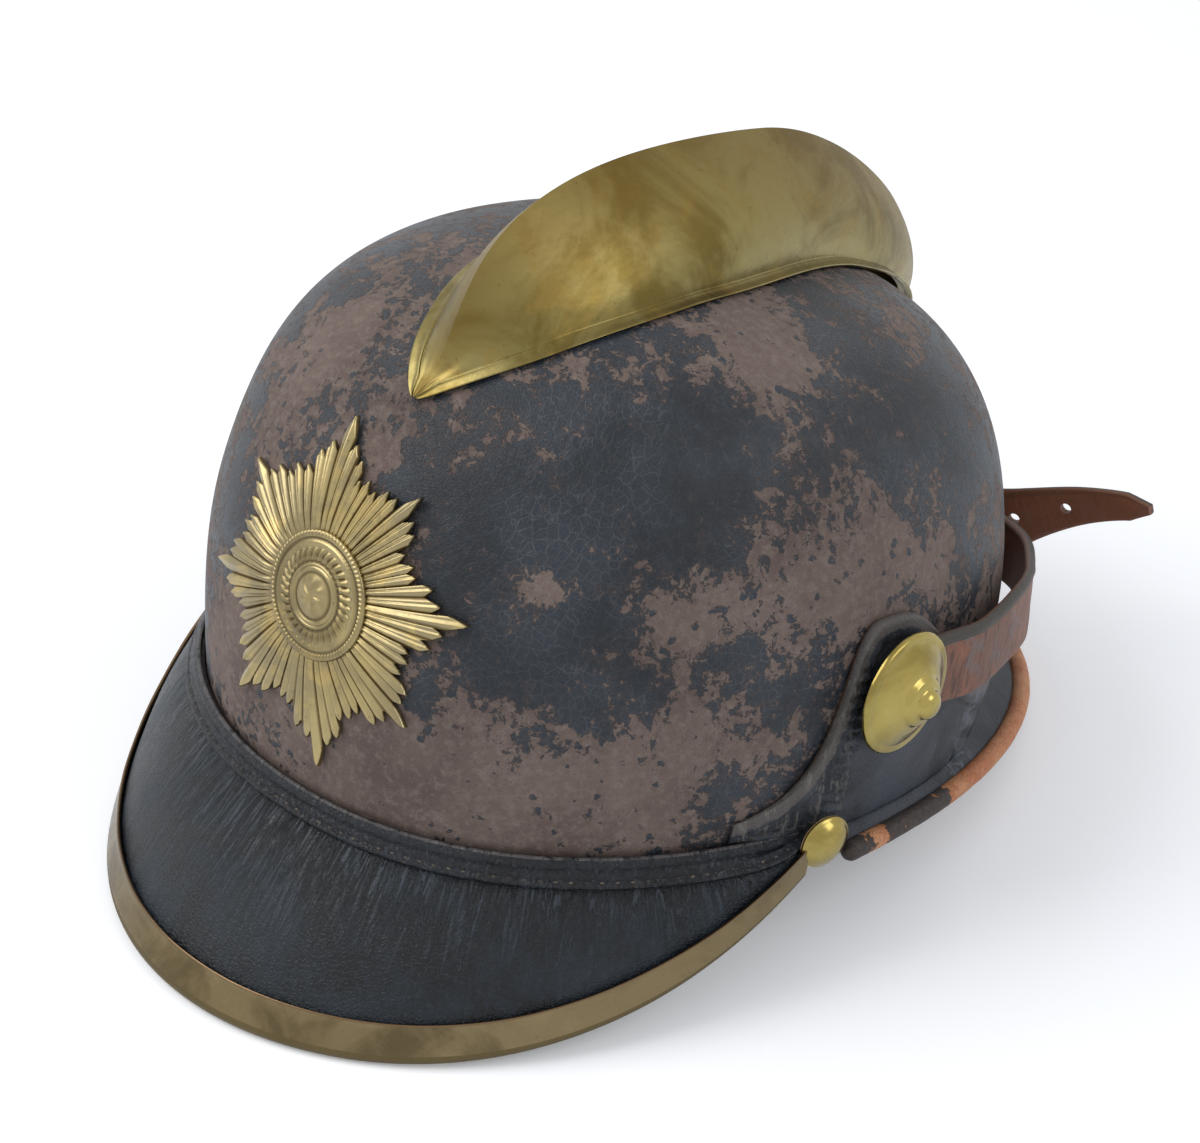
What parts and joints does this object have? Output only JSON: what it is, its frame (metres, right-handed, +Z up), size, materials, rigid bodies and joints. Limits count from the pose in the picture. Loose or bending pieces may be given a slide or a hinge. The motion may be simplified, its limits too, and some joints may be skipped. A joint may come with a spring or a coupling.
{
  "type": "leather fire helmet",
  "caption": "Old leather fire helmet with front visor, neck guard, brass comb, star plate and rosettes that carry a buckled chin strap stowed behind.",
  "frame": {"origin": "on the table below the middle of the helmet's box, where it stands on the visor's rim and the guard's edge", "axes": "+Z up; the front, with the visor and star, faces -Y; the wearer's left is +X"},
  "size_m": [0.2216, 0.275, 0.1747],
  "materials": {
    "skull_leather": "worn black paint over grey-brown leather, semi-gloss",
    "visor_leather": "black, soft sheen, fine wrinkles",
    "guard_leather": "black, worn grey-brown at the border",
    "edge_leather": "raw orange-brown edge with remnants of black paint",
    "strap_leather": "worn reddish brown, dark rolled edges",
    "lining_leather": "plain tan",
    "cord_cotton": "twisted cotton",
    "comb_brass": "aged, satin, olive-brown",
    "trim_brass": "dull, tarnished",
    "star_gilt": "gilt, satin",
    "bright_brass": "bright satin",
    "inner_brass": "plain",
    "buckle_steel": "blackened, worn"
  },
  "bodies": {
    "helmet": {"skull": "skull_leather", "front_visor": "visor_leather", "visor_welt": "visor_leather", "visor_trim": "trim_brass", "trim_rivets": "bright_brass", "rivet_burrs": "inner_brass", "neck_guard": "guard_leather", "neck_guard_edge": "edge_leather", "comb": "comb_brass", "comb_studs": "inner_brass", "comb_washers": "inner_brass", "comb_nuts": "inner_brass", "star_plate": "star_gilt", "star_medallion": "star_gilt", "star_studs": "inner_brass", "star_nuts": "inner_brass", "rosette_left": "bright_brass", "rosette_right": "bright_brass", "rosette_posts": "inner_brass", "rosette_washers": "inner_brass", "rosette_nuts": "inner_brass", "sweatband": "lining_leather", "crown_lining": "lining_leather", "lining_cord": "cord_cotton"},
    "chin_strap": {"strap_left": "strap_leather", "strap_right": "strap_leather", "buckle_frame": "buckle_steel"},
    "prong": {"buckle_prong": "buckle_steel"},
    "keeper": {"strap_keeper": "strap_leather"}
  },
  "joints": [
    {"name": "strap_swing", "type": "hinge", "parent": "helmet", "child": "chin_strap", "pos_m": [0, 0.004, 0.0669], "axis": [1, 0, 0], "range_deg": [0, 20]},
    {"name": "prong_lift", "type": "hinge", "parent": "chin_strap", "child": "prong", "pos_m": [0, 0.12188, 0.028], "axis": [0, 0, -1], "range_deg": [0, 6]},
    {"name": "keeper_slide", "type": "slide", "parent": "chin_strap", "child": "keeper", "axis": [1, 0, 0], "range_m": [-0.004, 0.004]}
  ]
}
